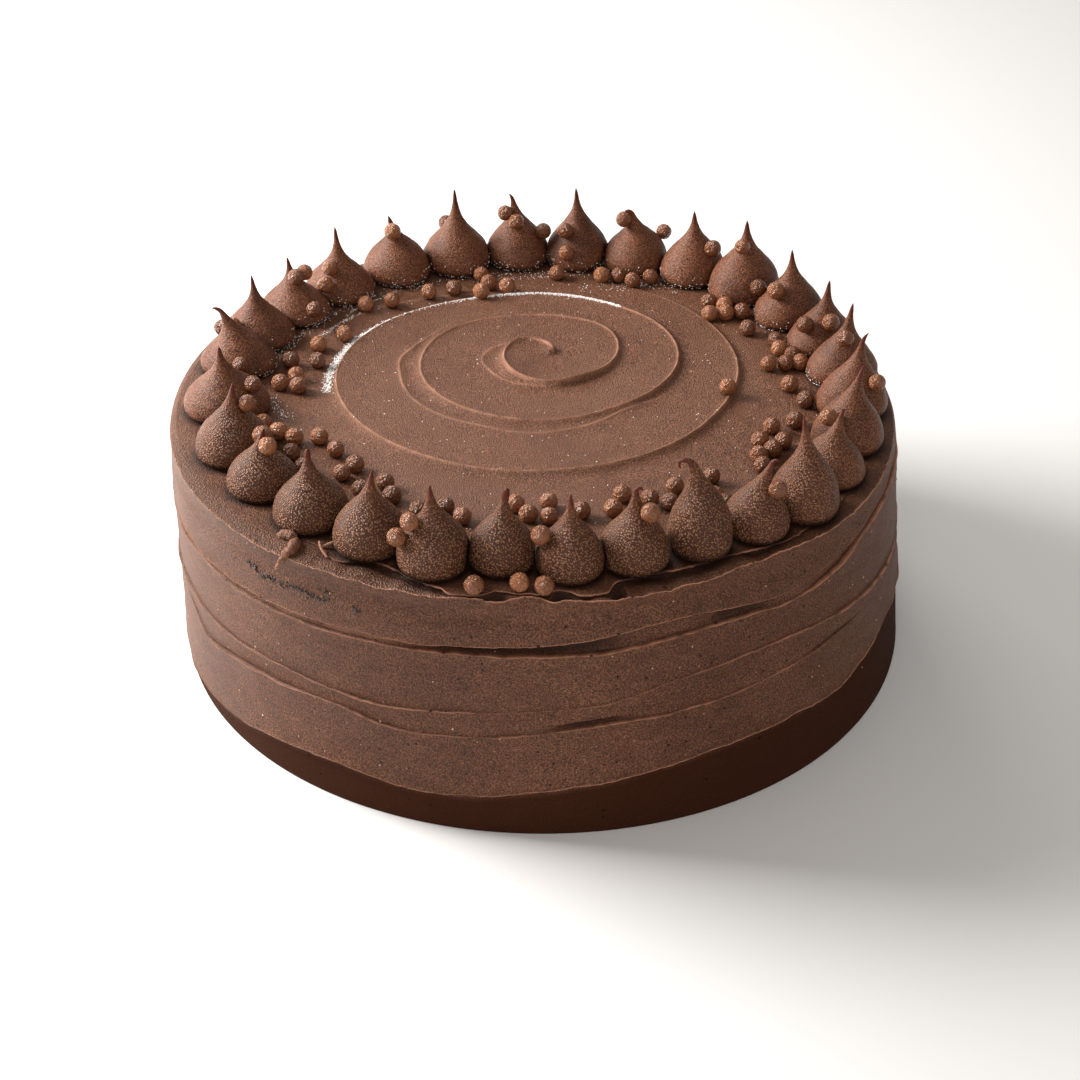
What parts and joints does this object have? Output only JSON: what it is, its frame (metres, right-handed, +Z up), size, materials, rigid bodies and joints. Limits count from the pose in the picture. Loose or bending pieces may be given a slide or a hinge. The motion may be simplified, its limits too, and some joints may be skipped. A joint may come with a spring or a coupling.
{
  "type": "ganache cake",
  "caption": "Round uncut chocolate ganache cake with a scraped side, a spiral spread on its top, a ring of piped kisses round the rim and small chocolate pearls.",
  "frame": {"origin": "middle of the cake's bounding box at the surface it stands on", "axes": "+Z up out of the cake's top, -Y towards the side that the picture shows, +X to that view's right"},
  "size_m": [0.2044, 0.2038, 0.0967],
  "materials": {
    "ganache": "satin set chocolate ganache, scraped, with fine dew",
    "piped_ganache": "satin whipped chocolate ganache, piped, with fine dew",
    "pearls": "polished milk chocolate coating"
  },
  "bodies": {
    "root": {"cake_body": "ganache", "kiss_01": "piped_ganache", "kiss_02": "piped_ganache", "kiss_03": "piped_ganache", "kiss_04": "piped_ganache", "kiss_05": "piped_ganache", "kiss_06": "piped_ganache", "kiss_07": "piped_ganache", "kiss_08": "piped_ganache", "kiss_09": "piped_ganache", "kiss_10": "piped_ganache", "kiss_11": "piped_ganache", "kiss_12": "piped_ganache", "kiss_13": "piped_ganache", "kiss_14": "piped_ganache", "kiss_15": "piped_ganache", "kiss_16": "piped_ganache", "kiss_17": "piped_ganache", "kiss_18": "piped_ganache", "kiss_19": "piped_ganache", "kiss_20": "piped_ganache", "kiss_21": "piped_ganache", "kiss_22": "piped_ganache", "kiss_23": "piped_ganache", "kiss_24": "piped_ganache", "kiss_25": "piped_ganache", "kiss_26": "piped_ganache", "kiss_27": "piped_ganache", "kiss_28": "piped_ganache", "kiss_29": "piped_ganache"}
  },
  "joints": []
}
